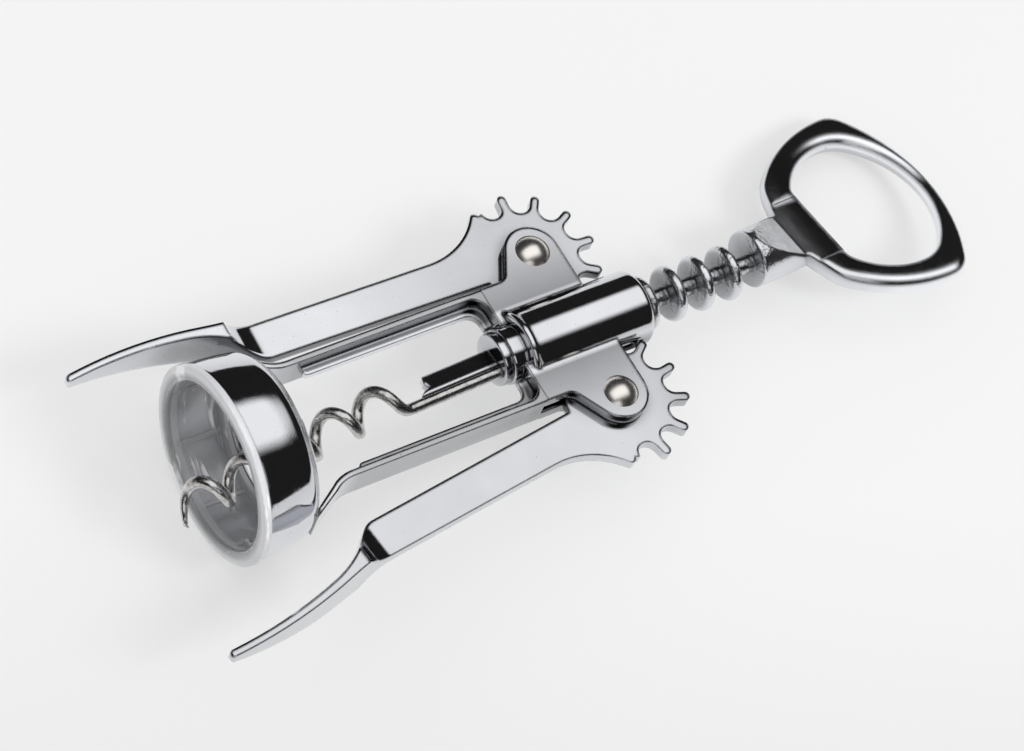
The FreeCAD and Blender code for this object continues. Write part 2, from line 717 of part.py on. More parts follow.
def make_spindle():
    """One casting: ring rack, foot with tang, boss and pull handle."""
    body = new_body("spindle")

    rim = new_sketch(body, "XY_Plane", "handle_outline")
    set_askew(rim, S.askew_a, S.askew_x)
    corner = (S.handle_corner_x, S.handle_corner_y)
    corner_r = S.handle_corner_r
    inset = S.handle_end_x - corner[0]
    end_r = (inset * inset + corner[1] * corner[1] - corner_r * corner_r) / (2 * (inset - corner_r))
    end_touch = touch(corner, corner_r, (S.handle_end_x - end_r, dim(0)))
    top_y = corner[1] + corner_r
    side_r = S.handle_side_r
    side_x = S.handle_turn_x
    side_y = top_y - side_r + root_of(side_r * side_r - (corner[0] - side_x) * (corner[0] - side_x))
    back_r = S.handle_back_r
    back_x = side_x + (corner[0] - side_x) * back_r / side_r
    back_y = side_y - (side_y - top_y + side_r) * back_r / side_r
    lean = S.handle_lean_a
    lean_x = back_x - back_r * cos_of(lean)
    lean_y = back_y + back_r * sin_of(lean)
    low_y = S.boss_r - 0.7
    low_x = lean_x - (lean_y - low_y) * sin_of(lean) / cos_of(lean)

    far_r = S.opening_far_r
    wide_x = S.opening_wide_x
    wide_y = S.opening_half_y
    reach = wide_x - S.opening_end_x + far_r
    far_corner_r = (far_r * far_r - reach * reach - wide_y * wide_y) / (2 * (far_r - wide_y))
    far_corner = (wide_x, wide_y - far_corner_r)
    far_touch = touch(far_corner, far_corner_r, (S.opening_end_x - far_r, dim(0)))
    near_r = S.opening_near_r
    near_y = wide_y - near_r
    small_r = S.lip_corner_r
    small_x = S.lip_x + small_r
    span = (near_r - small_r) * (near_r - small_r) - (wide_x - small_x) * (wide_x - small_x)
    small_y = near_y + root_of(span)
    small_touch = touch((small_x, small_y), small_r, (wide_x, near_y))
    draw_loop(rim, (S.handle_end_x, 0), [
        (end_touch[0], end_touch[1], end_r, 1),
        (corner[0], top_y, corner_r, 1),
        (side_x, side_y, side_r, 1),
        (lean_x, lean_y, back_r, 1),
        (low_x, low_y),
        (low_x, 0 - low_y),
        (lean_x, 0 - lean_y),
        (side_x, 0 - side_y, back_r, 1),
        (corner[0], 0 - top_y, side_r, 1),
        (end_touch[0], 0 - end_touch[1], corner_r, 1),
        (S.handle_end_x, 0, end_r, 1),
    ])
    blank = pad(body, rim, S.handle_thick, "handle_blank")
    opening = new_sketch(body, "XY_Plane", "opening_outline")
    set_askew(opening, S.askew_a, S.askew_x)
    draw_loop(opening, (S.lip_x, 0 - small_y), [
        (S.lip_x, small_y),
        (small_touch[0], small_touch[1], small_r, -1),
        (wide_x, wide_y, near_r, -1),
        (far_touch[0], far_touch[1], far_corner_r, -1),
        (S.opening_end_x, 0, far_r, -1),
        (far_touch[0], 0 - far_touch[1], far_r, -1),
        (wide_x, 0 - wide_y, far_corner_r, -1),
        (small_touch[0], 0 - small_touch[1], near_r, -1),
        (S.lip_x, 0 - small_y, small_r, -1),
    ])
    hole = pocket(body, opening, S.handle_thick, "opening")
    for feature, draft in ((blank, 0 - S.handle_draft_a), (hole, S.handle_draft_a)):
        feature.SideType = "Two sides"
        bind(feature, "Length", S.handle_thick / 2)
        bind(feature, "Length2", S.handle_thick / 2)
        bind(feature, "TaperAngle", draft)
        bind(feature, "TaperAngle2", draft)
    doc.recompute()
    rims = face_edges(hole, S.handle_thick.value / 2)
    soft = body.newObject("PartDesign::Fillet", "handle_rounding")
    soft.Base = (hole, rims)
    bind(soft, "Radius", S.handle_round_r)

    recess = new_sketch(body, "XZ_Plane", "web_recess_outline")
    set_askew(recess, S.askew_a, S.askew_x)
    boss_end = S.boss_top_x
    for turn in (1, -1):
        draw_loop(recess, (S.scoop_x, turn * S.boss_r), [
            (S.scoop_end_x, turn * S.web_half_z),
            (S.lip_x + 1, turn * S.web_half_z),
            (S.lip_x + 1, turn * S.boss_r * 1.2),
            (S.scoop_x, turn * S.boss_r * 1.2),
            (S.scoop_x, turn * S.boss_r),
        ])

    boss = new_sketch(body, "XY_Plane", "boss_profile")
    set_askew(boss, S.askew_a, S.askew_x)
    draw_loop(boss, (S.boss_low_x, 0), [
        (S.boss_low_x, S.boss_r - 0.4),
        (S.boss_low_x + 0.4, S.boss_r, 0.4, -1),
        (boss_end, S.boss_r),
        (boss_end, 0),
        (S.boss_low_x, 0),
    ])
    turned(body, boss, "boss_turned")

    profile = new_sketch(body, "XY_Plane", "spindle_profile")
    neck_top = S.foot_low_x + S.foot_head_len + S.bush_len + 2 * S.bush_gap
    neck_low = S.foot_low_x + S.foot_head_len
    crest = S.ring_half_w
    steps = [
        (S.foot_low_x, S.foot_head_r - 0.4),
        (S.foot_low_x + 0.4, S.foot_head_r, 0.4, -1),
        (neck_low, S.foot_head_r),
        (neck_low, S.foot_r),
        (neck_top, S.foot_r),
        (neck_top, S.foot_top_r),
        (S.ring_first_x - 1.6, S.foot_top_r),
    ]
    for number in range(int(S.ring_count.value)):
        middle = S.ring_first_x + number * S.ring_pitch
        foot_y = S.foot_top_r if number == 0 else S.core_r
        steps += [
            (middle - S.ring_root_half_w, foot_y),
            (middle - crest, S.ring_r - crest),
            (middle, S.ring_r, crest, -1),
            (middle + crest, S.ring_r - crest, crest, -1),
            (middle + S.ring_root_half_w, S.core_r),
        ]
    steps += [
        (S.boss_low_x + 2, S.core_r),
        (S.boss_low_x + 2, 0),
        (S.foot_low_x, 0),
    ]
    draw_loop(profile, (S.foot_low_x, 0), steps)
    turned(body, profile, "spindle_turned")
    pocket(body, recess, 2 * S.web_half_y, "web_recess")

    tang = new_sketch(body, "XY_Plane", "tang_outline")
    set_askew(tang, S.tang_askew_a, S.tang_askew_x)
    draw_loop(tang, (S.foot_low_x + 0.4, S.tang_top_y), [
        (S.foot_low_x + 0.4, -S.tang_low_y),
        (S.tang_end_x - 1.9, -S.tang_low_y),
        (S.tang_end_x - 0.7, -S.tang_low_y + 0.9),
        (S.tang_end_x + 0.3, -S.tang_low_y + 1.2),
        (S.tang_end_x, S.tang_top_y - 1.3),
        (S.tang_end_x + 0.4, S.tang_top_y),
        (S.foot_low_x + 0.4, S.tang_top_y),
    ])
    pad(body, tang, S.tang_thick, "tang")

    seat = new_sketch(body, "YZ_Plane", "worm_seat_outline")
    set_askew(seat, S.tang_askew_a, S.tang_askew_x)
    draw_circle(seat, -S.worm_shank_y, 0, S.wire_r + 0.02)
    pocket(body, seat, 2 * (S.worm_shank_top_x + 0.1), "worm_seat")
    return body


# ------------------------------------------------------------------------ worm


def make_worm():
    """Wire worm: a straight shank in the foot that winds into a pointed helix.

    The centre line is a curve through points that follow from the sheet's sizes."""
    label = "worm"
    top_x = S.worm_shank_top_x.value
    start_x = S.worm_start_x.value
    tip_x = S.worm_tip_x.value
    pitch = S.worm_pitch.value
    radius = S.worm_r.value
    wire = S.wire_r.value
    blend = S.worm_blend_len.value
    lean = math.tan(math.radians(S.worm_lean_a.value))
    lift = S.worm_lift.value
    shank_y = S.worm_shank_y.value

    def ease(share):
        share = min(max(share, 0.0), 1.0)
        return share * share * (3 - 2 * share)

    def wound(x):
        """Angle wound at x, with the winding eased in over the blend."""
        run = start_x - x
        if run <= 0:
            return 0.0
        if run >= blend:
            return (run - blend / 2) * 2 * math.pi / pitch
        share = run / blend
        return blend * (share ** 3 - share ** 4 / 2) * 2 * math.pi / pitch

    def spot(x):
        angle = math.pi - wound(x)
        run = start_x - x
        reach = shank_y + (radius - shank_y) * ease(run / blend)
        drop = (lean * run - lift) * ease(run / (2 * blend))
        return V(x, reach * math.cos(angle) - drop, reach * math.sin(angle))

    steps = int(round((start_x - tip_x) / pitch * S.worm_points.value))
    spots = [spot(start_x - (start_x - tip_x) * n / steps) for n in range(steps + 1)]
    last = (spots[-1] - spots[-2]).normalize()
    curve = Part.BSplineCurve()
    curve.interpolate(Points=spots, InitialTangent=V(-1, 0, 0), FinalTangent=last)
    taper_at = curve.parameter(spot(tip_x + S.worm_taper_len.value))
    point_r = S.worm_point_r.value

    def section(at, size):
        return Part.Wire([Part.makeCircle(size, curve.value(at), curve.tangent(at)[0])])

    shank = Part.makeCylinder(wire, top_x - start_x, V(start_x, -shank_y, 0), AXIS_X)
    winding = Part.Wire([curve.toShape(curve.FirstParameter, taper_at)])
    helix = winding.makePipeShell([section(curve.FirstParameter, wire)], True, True)
    end = Part.Wire([curve.toShape(taper_at, curve.LastParameter)])
    ends = [section(taper_at, wire), section(curve.LastParameter, point_r)]
    point = end.makePipeShell(ends, True, True)
    node = doc.addObject("Part::Feature", label)
    node.Label = label
    node.Shape = shank.fuse([helix, point]).removeSplitter()
    return node


# -------------------------------------------------------------------- assembly

nodes = {
    "frame": make_frame(),
    "bell_liner": make_liner(),
    "wing_left": make_wing("wing_left"),
    "wing_right": make_wing("wing_right"),
    "rivet_left": make_rivet("rivet_left"),
    "rivet_right": make_rivet("rivet_right"),
    "foot_bush": make_bush(),
    "spindle": make_spindle(),
    "worm": make_worm(),
}

pivot_x = S.pivot_x.value
pivot_y = S.pivot_y.value
flipped = FreeCAD.Rotation(AXIS_X, 180)
left_open = FreeCAD.Rotation(AXIS_Z, -S.left_open_a.value)
right_open = FreeCAD.Rotation(AXIS_Z, S.right_open_a.value)
turned_a = FreeCAD.Rotation(AXIS_X, S.spindle_turn_a.value)
nodes["wing_left"].Placement = FreeCAD.Placement(V(pivot_x, pivot_y, 0), left_open)
nodes["wing_right"].Placement = FreeCAD.Placement(V(pivot_x, -pivot_y, 0), right_open * flipped)
nodes["rivet_left"].Placement = FreeCAD.Placement(V(pivot_x, pivot_y, 0), FreeCAD.Rotation())
nodes["rivet_right"].Placement = FreeCAD.Placement(V(pivot_x, -pivot_y, 0), FreeCAD.Rotation())
nodes["spindle"].Placement = FreeCAD.Placement(V(0, 0, 0), turned_a)
askew = FreeCAD.Rotation(AXIS_Z, S.tang_askew_a.value)
nodes["worm"].Placement = nodes["spindle"].Placement * FreeCAD.Placement(
    V(0, 0, 0), askew, V(S.tang_askew_x.value, 0, 0))
doc.recompute()

for thing in doc.Objects:
    if "Invalid" in thing.State or "Error" in thing.State:
        raise RuntimeError("%s did not build" % thing.Name)

for name, thing in nodes.items():
    shape = thing.Shape
    if shape.isNull() or not shape.isValid() or len(shape.Solids) != 1:
        raise RuntimeError("%s is not one valid solid" % name)
    shape.exportStep("parts/%s.step" % name)
    box = shape.BoundBox
    print(name, round(shape.Volume, 1), [round(v, 1) for v in (box.XMin, box.XMax)])
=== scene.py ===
"""The looks of the wing corkscrew: the photo's camera, plated castings, steel
wire and clear plastic, on a pale floor in a dark studio. Lengths are in metres
in the frame's axes: X from the bell's mouth to the handle, Y across the wings,
Z up from the floor."""

import math
import bpy
from mathutils import Matrix, Vector

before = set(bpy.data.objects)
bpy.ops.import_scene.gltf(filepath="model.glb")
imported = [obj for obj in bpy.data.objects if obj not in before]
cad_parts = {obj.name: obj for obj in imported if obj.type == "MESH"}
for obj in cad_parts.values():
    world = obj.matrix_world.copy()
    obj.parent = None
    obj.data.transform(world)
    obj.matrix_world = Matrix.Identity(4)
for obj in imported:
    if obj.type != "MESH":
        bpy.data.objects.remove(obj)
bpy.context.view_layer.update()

scene = bpy.context.scene
scene.view_settings.view_transform = "Standard"


# ---------------------------------------------------------------------- camera

CAMERA_AZIMUTH = -53.28
CAMERA_ELEVATION = 54.98
CAMERA_ROLL = 26.77
CAMERA_TARGET = Vector((0.06016, -0.00413, 0.0))
CAMERA_DISTANCE = 0.6467
CAMERA_LENS = 126.56
CAMERA_SENSOR = 36.0


def camera_axes(azimuth, elevation, roll):
    """Right, up and back of a camera, as unit vectors in the part's frame."""
    a = math.radians(azimuth)
    e = math.radians(elevation)
    r = math.radians(roll)
    back = Vector((math.sin(a) * math.cos(e), -math.cos(a) * math.cos(e), math.sin(e)))
    level = Vector((0, 0, 1)).cross(back).normalized()
    upright = back.cross(level)
    right = level * math.cos(r) + upright * math.sin(r)
    up = upright * math.cos(r) - level * math.sin(r)
    return right, up, back


def make_camera():
    """The photo's viewpoint: a long lens from above, on the bell's side."""
    right, up, back = camera_axes(CAMERA_AZIMUTH, CAMERA_ELEVATION, CAMERA_ROLL)
    camera = bpy.data.objects.new("camera", bpy.data.cameras.new("camera"))
    scene.collection.objects.link(camera)
    turn = Matrix((right, up, back)).transposed().to_4x4()
    camera.matrix_world = Matrix.Translation(CAMERA_TARGET + back * CAMERA_DISTANCE) @ turn
    camera.data.sensor_width = CAMERA_SENSOR
    camera.data.lens = CAMERA_LENS
    return camera


scene.camera = make_camera()


# ----------------------------------------------------------------- node graphs

SHADING_SAMPLES = 8

# The part of a noise's range over which it passes from one colour to another,
# and from one roughness to another.
CLOUD_SPAN = (0.3, 0.7)
DULL_SPAN = (0.35, 0.75)

# The Mix node's colour sockets; they share their names with its number sockets.
MIX_FIRST, MIX_SECOND, MIX_RESULT = 6, 7, 2


def grey(v):
    return (v, v, v)


class Graph:
    """A node tree, with short calls that add nodes and join them. A value is
    a number or another node's output."""

    def __init__(self, owner):
        owner.use_nodes = True
        self.nodes = owner.node_tree.nodes
        self.links = owner.node_tree.links

    def add(self, kind, **values):
        node = self.nodes.new(kind)
        for name, value in values.items():
            setattr(node, name, value)
        return node

    def join(self, out, into):
        self.links.new(out, into)

    def feed(self, value, socket):
        """Give a socket a number or another node's output."""
        if isinstance(value, (int, float)):
            socket.default_value = value
        else:
            self.join(value, socket)

    def calc(self, operation, first, second=None, clamp=False):
        node = self.add("ShaderNodeMath", operation=operation, use_clamp=clamp)
        self.feed(first, node.inputs[0])
        if second is not None:
            self.feed(second, node.inputs[1])
        return node.outputs[0]

    def product(self, first, *others):
        for other in others:
            first = self.calc("MULTIPLY", first, other)
        return first

    def remap(self, value, span, ends, smooth=False):
        """Map a span of a value onto two end values, which it keeps beyond; smooth
        gives the passage soft ends."""
        node = self.add("ShaderNodeMapRange")
        if smooth:
            node.interpolation_type = "SMOOTHSTEP"
        names = ("From Min", "From Max", "To Min", "To Max")
        for name, number in zip(names, (*span, *ends)):
            node.inputs[name].default_value = number
        self.join(value, node.inputs["Value"])
        return node.outputs["Result"]

    def component(self, vector, name):
        node = self.add("ShaderNodeSeparateXYZ")
        self.join(vector, node.inputs[0])
        return node.outputs[name]


class Paint(Graph):
    """A material around the Principled shader."""

    def __init__(self, name):
        self.material = bpy.data.materials.new(name)
        super().__init__(self.material)
        self.shader = self.nodes["Principled BSDF"]
        self.spot = self.add("ShaderNodeTexCoord").outputs["Object"]

    def set(self, **values):
        for name, value in values.items():
            self.shader.inputs[name.replace("_", " ")].default_value = value

    def give(self, name, value):
        """Join a value to one of the shader's sockets."""
        self.join(value, self.shader.inputs[name])

    def stretched(self, scale):
        """The point on the object, scaled along each axis."""
        node = self.add("ShaderNodeMapping")
        node.inputs["Scale"].default_value = scale
        self.join(self.spot, node.inputs["Vector"])
        return node.outputs["Vector"]

    def along(self, name):
        """Where a point is along one of the frame's axes, in metres."""
        return self.component(self.spot, name)

    def noise(self, scale, detail=4.0, rough=0.5, stretch=None):
        """Noise over the object, with scale in features per metre."""
        node = self.add("ShaderNodeTexNoise")
        node.inputs["Scale"].default_value = scale
        node.inputs["Detail"].default_value = detail
        node.inputs["Roughness"].default_value = rough
        self.join(self.stretched(stretch) if stretch else self.spot, node.inputs["Vector"])
        return node.outputs["Fac"]

    def ramp(self, value, stops):
        """Colours along a value."""
        node = self.add("ShaderNodeValToRGB")
        points = node.color_ramp.elements
        while len(points) < len(stops):
            points.new(0.5)
        for point, (at, colour) in zip(points, stops):
            point.position = at
            point.color = (*colour, 1)
        self.join(value, node.inputs["Fac"])
        return node.outputs["Color"]

    def clouded(self, value, low, high):
        """Two colours that pass into each other over the middle of a noise."""
        return self.ramp(value, list(zip(CLOUD_SPAN, (low, high))))

    def tinted(self, first, second):
        """One colour multiplied by another colour or grey."""
        node = self.add("ShaderNodeMix", data_type="RGBA", blend_type="MULTIPLY")
        node.inputs["Factor"].default_value = 1.0
        self.join(first, node.inputs[MIX_FIRST])
        self.join(second, node.inputs[MIX_SECOND])
        return node.outputs[MIX_RESULT]

    def shade_in_recesses(self, reach, low, high, dark):
        """Painted shade: 1 in the open, falling to dark in narrow gaps and corners."""
        node = self.add("ShaderNodeAmbientOcclusion", samples=SHADING_SAMPLES)
        node.inputs["Distance"].default_value = reach
        return self.remap(node.outputs["AO"], (low, high), (dark, 1.0))

    def soft_edges(self, radius):
        """Normals that round the edges off, by a radius in metres."""
        node = self.add("ShaderNodeBevel", samples=SHADING_SAMPLES)
        self.feed(radius, node.inputs["Radius"])
        return node.outputs["Normal"]

    def bump(self, heights, normal=None):
        """Bumps from pairs of a height value and a depth in metres, on top of
        a normal."""
        for height, depth in heights:
            node = self.add("ShaderNodeBump")
            node.inputs["Strength"].default_value = 1.0
            node.inputs["Distance"].default_value = depth
            self.join(height, node.inputs["Height"])
            if normal:
                self.join(normal, node.inputs["Normal"])
            normal = node.outputs["Normal"]
        self.give("Normal", normal)


# ---------------------------------------------------------------------- chrome

# Spans along the tool (X, in metres from the bell's mouth) over which one
# finish, painted shade or painted highlight passes into the next.
BELL_TO_STRUTS = (0.0170, 0.0230)
BELL_TO_CRISP = (0.0190, 0.0230)
RIB_START = (0.0225, 0.0235)
LEFT_ARM_TO_TEETH = (0.0340, 0.0600)
STRUTS_TO_EARS = (0.0540, 0.0600)
CRISP_TO_BARREL = (0.0560, 0.0600)
STRUTS_TO_BARREL = (0.0560, 0.0610)
RIB_END = (0.0570, 0.0600)
TANG_TO_RACK = (0.0660, 0.0700)
RIGHT_TEETH_TO_TIP = (0.0790, 0.0880)
RACK_TO_BOSS = (0.1180, 0.1230)
BOSS_TO_BARS = (0.1262, 0.1345)
BOSS_TO_CAP = (0.1280, 0.1330)
CAP_TO_BARS = (0.1330, 0.1400)

# The same across the tool (Y, or the distance from its middle).
BARREL_TO_BRIDGE = (0.0066, 0.0074)
BRIDGE_TO_EAR = (0.0076, 0.0200)
WINDOW_TO_RIB = (0.0040, 0.0080)
RIB_TO_STRUT = (0.0110, 0.0113)

# Painted shade in recesses, from ambient occlusion: reach in metres, occlusion
# from and to, and how dark the painted shade gets.
CASTING_RECESS_SHADE = (0.007, 0.30, 0.88, 0.28)
SPINDLE_RECESS_SHADE = (0.009, 0.42, 0.95, 0.30)
WORM_RECESS_SHADE = (0.004, 0.35, 0.95, 0.35)

# How much of the chrome's brightness is kept under painted shade, and how much a painted
# highlight adds on the rib and the handle.
STRUT_SHADE = 0.62
BRIDGE_SHADE = 0.42
EAR_SHADE = 0.78
RIB_HIGHLIGHT = 0.60
LEFT_TEETH_SHADE = 0.77
RIGHT_TIP_SHADE = 0.74
HANDLE_HIGHLIGHT = 1.22

# Roundings of the edges, in metres, which only the shading has.
CASTING_EDGE = 0.0010
STRUT_EDGE = 0.0007
BUSH_EDGE = 0.0005
RACK_EDGE = 0.0009
BAR_CROWN = 0.0023

# Roughness that is added on the rack and taken off again on the handle.
TANG_DULL = -0.01
RACK_DULL = 0.15
HANDLE_DULL = -0.20

CHROME_TINT = Vector((1.0, 1.008, 1.05))
RIPPLE_SHARE = 0.012
PIT_DEPTH = 0.000004
SKIN_DEPTH = 0.0002


def make_chrome(name, greys, wave, edge=CASTING_EDGE, recess_shade=CASTING_RECESS_SHADE,
                painted_light=None, dulled=None, skin=None):
    """Bright plating on a casting: slow waves, fine pits, sparse dark specks,
    duller where the polishing wheel doesn't reach, and painted shade that darkens
    it in narrow gaps and corners. greys are its darkest and lightest brightness
    and wave is how deep its waves are. The last three are functions that place
    a painted shade or highlight along the tool, extra roughness and a rough skin."""
    paint = Paint(name)
    paint.set(Metallic=1.0)
    low, high = greys
    colour = paint.clouded(paint.noise(110, detail=2.0), CHROME_TINT * low, CHROME_TINT * high)
    specks = paint.ramp(paint.noise(1700, detail=1.0), [(0.74, grey(1.0)), (0.84, grey(0.45))])
    colour = paint.tinted(colour, specks)
    # painted shade, darkest in narrow gaps and corners
    colour = paint.tinted(colour, paint.shade_in_recesses(*recess_shade))
    # painted shade and painted highlight placed along the tool
    if painted_light:
        colour = paint.tinted(colour, painted_light(paint))
    paint.give("Base Color", colour)
    dull = paint.remap(paint.noise(600, detail=5.0), DULL_SPAN, (0.04, 0.09))
    if dulled:
        dull = paint.calc("ADD", dull, dulled(paint))
    paint.give("Roughness", dull)
    waves = paint.noise(95, detail=2.0)
    ripples = paint.noise(900, detail=3.0)
    pits = paint.remap(paint.noise(2600, detail=1.0), (0.64, 0.80), (0.0, -1.0))
    heights = [(waves, wave), (ripples, wave * RIPPLE_SHARE), (pits, PIT_DEPTH)]
    if skin:
        heights.append((skin(paint), SKIN_DEPTH))
    paint.bump(heights, paint.soft_edges(edge(paint) if callable(edge) else edge))
    return paint.material


def frame_shade_and_highlight(paint):
    """Painted shade on the struts, the ears and the bridge beside the barrel,
    darker than the bell and the barrel; a painted highlight on the rib in the left strut."""
    where = paint.along("X")
    outward = paint.calc("ABSOLUTE", paint.along("Y"))
    past_struts = paint.remap(where, STRUTS_TO_EARS, (0.0, 1.0))
    beside_barrel = paint.remap(outward, BARREL_TO_BRIDGE, (0.0, 1.0))
    mix = paint.add("ShaderNodeMix")
    paint.join(paint.product(past_struts, beside_barrel), mix.inputs["Factor"])
    bell_end = paint.remap(where, BELL_TO_STRUTS, (1.0, STRUT_SHADE))
    barrel_end = paint.remap(where, STRUTS_TO_BARREL, (0.0, 1.0 - STRUT_SHADE))
    paint.join(paint.calc("ADD", bell_end, barrel_end), mix.inputs["A"])
    paint.join(paint.remap(outward, BRIDGE_TO_EAR, (BRIDGE_SHADE, EAR_SHADE)), mix.inputs["B"])
    return paint.calc("ADD", mix.outputs["Result"], left_rib_highlight(paint))


def left_rib_highlight(paint):
    """The painted highlight on the left rib: how much brighter it is than its strut, and 0
    elsewhere.
    """
    where = paint.along("X")
    side = paint.along("Y")
    return paint.product(
        paint.remap(where, RIB_START, (0.0, 1.0)),
        paint.remap(where, RIB_END, (1.0, 0.0)),
        paint.remap(side, WINDOW_TO_RIB, (0.0, RIB_HIGHLIGHT)),
        paint.remap(side, RIB_TO_STRUT, (1.0, 0.0)),
    )


def frame_edges(paint):
    """Crisp edges on the struts and their ribs, rounder ones on the bell."""
    where = paint.along("X")
    bell = paint.remap(where, BELL_TO_CRISP, (CASTING_EDGE, STRUT_EDGE))
    barrel = paint.remap(where, CRISP_TO_BARREL, (0.0, CASTING_EDGE - STRUT_EDGE))
    return paint.calc("ADD", bell, barrel)


def left_painted_shade(paint):
    """Painted shade: the left wing's arm is brightest, its toothed end darker."""
    return paint.remap(paint.along("X"), LEFT_ARM_TO_TEETH, (1.0, LEFT_TEETH_SHADE))


def right_painted_shade(paint):
    """Painted shade: the right wing is darker towards the barrel's upper end."""
    return paint.remap(paint.along("X"), RIGHT_TEETH_TO_TIP, (1.0, RIGHT_TIP_SHADE))


def spindle_painted_highlight(paint):
    """Painted highlight: the handle is brighter than the rack and the boss."""
    return paint.remap(paint.along("X"), CAP_TO_BARS, (1.0, HANDLE_HIGHLIGHT))


def spindle_edges(paint):
    """Small rounding on the rack, a fuller crown on the bars of the handle."""
    return paint.remap(paint.along("X"), BOSS_TO_BARS, (RACK_EDGE, BAR_CROWN))


def spindle_dull(paint):
    """The rack's rings and the boss are left nearly as cast."""
    where = paint.along("X")
    rack = paint.remap(where, TANG_TO_RACK, (TANG_DULL, RACK_DULL))
    return paint.calc("ADD", rack, paint.remap(where, BOSS_TO_CAP, (0.0, HANDLE_DULL)))


def spindle_skin(paint):
    """Rough cast faces on the rack's rings, smooth ones elsewhere."""
    where = paint.along("X")
    start = paint.remap(where, TANG_TO_RACK, (0.0, 1.0))
    end = paint.remap(where, RACK_TO_BOSS, (1.0, 0.0))
    return paint.product(start, end, paint.noise(650, detail=3.0, rough=0.6))


# ------------------------------------------------------- other metal, plastic


def make_rivet_metal():
    """Tumbled nickel-plated dome: satin, warm, with light handling marks."""
    paint = Paint("rivet_nickel")
    paint.set(Metallic=1.0)
    cloud = paint.noise(500, detail=3.0)
    paint.give("Base Color", paint.clouded(cloud, (0.93, 0.88, 0.82), (0.99, 0.96, 0.91)))
    dull = paint.remap(paint.noise(300, detail=3.0), DULL_SPAN, (0.26, 0.32))
    paint.give("Roughness", dull)
    paint.bump([(paint.noise(420, detail=2.0), 0.00001)])
    return paint.material


def make_worm_steel():
    """Drawn steel wire with dark scratches and a rough, uneven skin, and painted shade where its
    turns lie close.
    """
    paint = Paint("worm_steel")
    paint.set(Metallic=1.0)
    cloud = paint.noise(700, detail=6.0, rough=0.65)
    greys = [(0.32, (0.42, 0.41, 0.40)), (0.50, (0.62, 0.61, 0.60)), (0.70, (0.80, 0.79, 0.78))]
    colour = paint.tinted(paint.ramp(cloud, greys), paint.shade_in_recesses(*WORM_RECESS_SHADE))
    paint.give("Base Color", colour)
    dull = paint.remap(paint.noise(1500, detail=5.0), (0.3, 0.7), (0.14, 0.32))
    paint.give("Roughness", dull)
    scratches = paint.noise(1100, detail=4.0, rough=0.6)
    dents = paint.noise(300, detail=2.0)
    paint.bump([(scratches, 0.00006), (dents, 0.0001)])
    return paint.material


# The liner's flange lies at the bell's mouth, its sleeve goes into the bell.
# How clear the plastic is at each, 0 to 1, and where one passes into the other.
FLANGE_TO_SLEEVE = (0.0010, 0.0024)
FLANGE_INSIDE_TO_RIM = (0.0163, 0.0175)
RIM_CLEAR = 0.26
FLANGE_CLEAR = 0.70
SLEEVE_CLEAR = 0.78


def make_liner_plastic():
    """Clear moulded plastic, milky at the flange's rim, with flow marks."""
    paint = Paint("liner_plastic")
    cloud = paint.noise(90, detail=3.0, stretch=(7.0, 1.0, 1.0))
    colour = paint.clouded(cloud, (0.90, 0.91, 0.945), (0.97, 0.975, 0.995))
    paint.give("Base Color", colour)
    dull = paint.remap(paint.noise(400, detail=4.0), DULL_SPAN, (0.10, 0.22))
    paint.give("Roughness", dull)
    paint.set(IOR=1.49)
    radius = paint.add("ShaderNodeVectorMath", operation="LENGTH")
    paint.join(paint.stretched((0.0, 1.0, 1.0)), radius.inputs[0])
    behind = paint.remap(paint.along("X"), FLANGE_TO_SLEEVE, (RIM_CLEAR, SLEEVE_CLEAR))
    inside = paint.remap(radius.outputs["Value"], FLANGE_INSIDE_TO_RIM, (FLANGE_CLEAR, RIM_CLEAR))
    marks = paint.noise(1.0, detail=3.0, rough=0.6, stretch=(620, 75, 75))
    streaks = paint.remap(marks, (0.60, 0.66), (0.0, -0.40))
    clear = paint.calc("ADD", paint.calc("MAXIMUM", behind, inside), streaks, clamp=True)
    paint.give("Transmission Weight", clear)
    paint.bump([(paint.noise(200, detail=2.0), 0.00006)])
    return paint.material


rivet_metal = make_rivet_metal()
finishes = {
    "frame": make_chrome("chrome_cast", (0.74, 0.78), wave=0.00007, edge=frame_edges,
                         painted_light=frame_shade_and_highlight),
    "wing_left": make_chrome("chrome_left", (0.76, 0.80), wave=0.00006, painted_light=left_painted_shade),
    # same chrome as the left wing; its lower greys are painted shade
    "wing_right": make_chrome("chrome_right", (0.65, 0.69), wave=0.00006, painted_light=right_painted_shade),
    "spindle": make_chrome("chrome_spindle", (0.76, 0.80), wave=0.00007, edge=spindle_edges,
                           recess_shade=SPINDLE_RECESS_SHADE, painted_light=spindle_painted_highlight, dulled=spindle_dull,
                           skin=spindle_skin),
    "foot_bush": make_chrome("chrome_bush", (0.70, 0.76), wave=0.00010, edge=BUSH_EDGE),
    "rivet_left": rivet_metal,
    "rivet_right": rivet_metal,
    "worm": make_worm_steel(),
    "bell_liner": make_liner_plastic(),
}
for name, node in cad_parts.items():
    node.data.materials.clear()
    node.data.materials.append(finishes[name])


# ----------------------------------------------------------------------- floor

# The tool lies on the bell's rim and the handle, so the floor leans along it.
FLOOR_LOW = -0.0191
FLOOR_TILT = math.radians(4.6)
FLOOR_HALF = 1.1
FLOOR_GLOW = 0.935
GLOW_SHARE = 0.54
SHADE_TOWARDS = (0.431, 0.902, 0.0)
SHADE_SPAN = (-0.045, 0.005)
SHADE_LEVEL = 0.935


